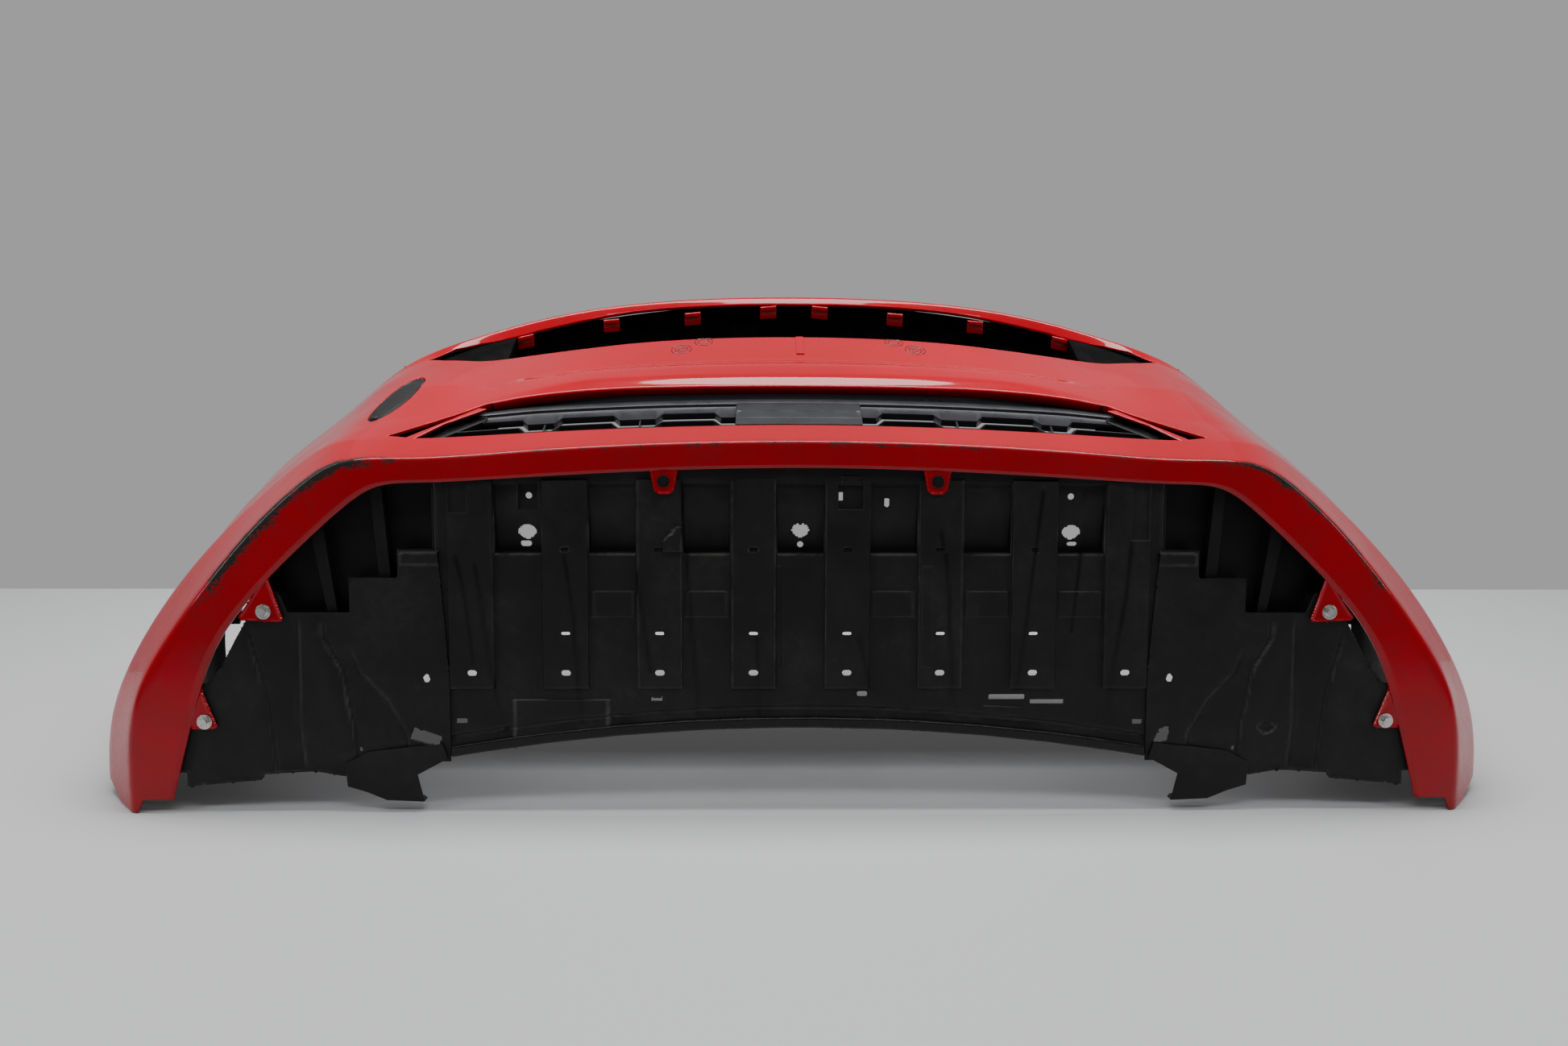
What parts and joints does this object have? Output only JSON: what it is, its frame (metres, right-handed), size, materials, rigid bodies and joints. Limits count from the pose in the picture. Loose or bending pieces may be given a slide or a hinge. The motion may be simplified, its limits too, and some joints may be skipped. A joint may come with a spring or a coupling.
{
  "type": "bumper cover",
  "caption": "Front bumper cover of a small car, painted skin with upper slot and lower grille, black undertray bolted under it, hinged tow eye cover and push retainers.",
  "frame": {"origin": "centre of the bounding box in plan, on the surface the cover stands on", "axes": "+X the car's left, +Y the car's up direction, +Z the car's forward direction, so the cover stands on its wheel-arch ends with the nose up"},
  "size_m": [1.7575, 0.497, 0.6069],
  "materials": {
    "paint": "gloss painted",
    "grille_plastic": "satin grained",
    "tray_plastic": "matte grained",
    "seal_rubber": "smooth",
    "bolt_steel": "zinc plated"
  },
  "bodies": {
    "cover": {"bumper_skin": "paint", "lower_grille": "grille_plastic", "grille_centre_panel": "grille_plastic", "grille_blade": "grille_plastic", "upper_carrier": "tray_plastic", "undertray_centre": "tray_plastic", "tray_edge_seal": "seal_rubber", "corner_trim_left": "paint", "corner_trim_right": "paint", "undertray_left": "tray_plastic", "undertray_right": "tray_plastic", "corner_duct_left": "tray_plastic", "corner_duct_right": "tray_plastic", "tray_foot_left": "tray_plastic", "tray_foot_right": "tray_plastic", "side_retainer_left": "tray_plastic", "side_retainer_right": "tray_plastic", "tray_bolts": "bolt_steel", "bolt_washers": "bolt_steel", "clip_nuts": "bolt_steel", "retainer_bodies": "tray_plastic", "tow_hinge_clip": "tray_plastic"},
    "tow_cover": {"tow_eye_cover": "grille_plastic"},
    "pin_left": {"retainer_pin_left": "tray_plastic"},
    "pin_right": {"retainer_pin_right": "tray_plastic"}
  },
  "joints": [
    {"name": "tow_cover_hinge", "type": "hinge", "parent": "cover", "child": "tow_cover", "pos_m": [-0.55307, -0.00227, 0.47245], "axis": [-0.1614, -0.9322, -0.324], "range_deg": [0, 80]},
    {"name": "pin_left_pull", "type": "slide", "parent": "cover", "child": "pin_left", "axis": [0, -0.9925, 0.1219], "range_m": [0, 0.005]},
    {"name": "pin_right_pull", "type": "slide", "parent": "cover", "child": "pin_right", "axis": [0, -0.9925, 0.1219], "range_m": [0, 0.005]}
  ]
}
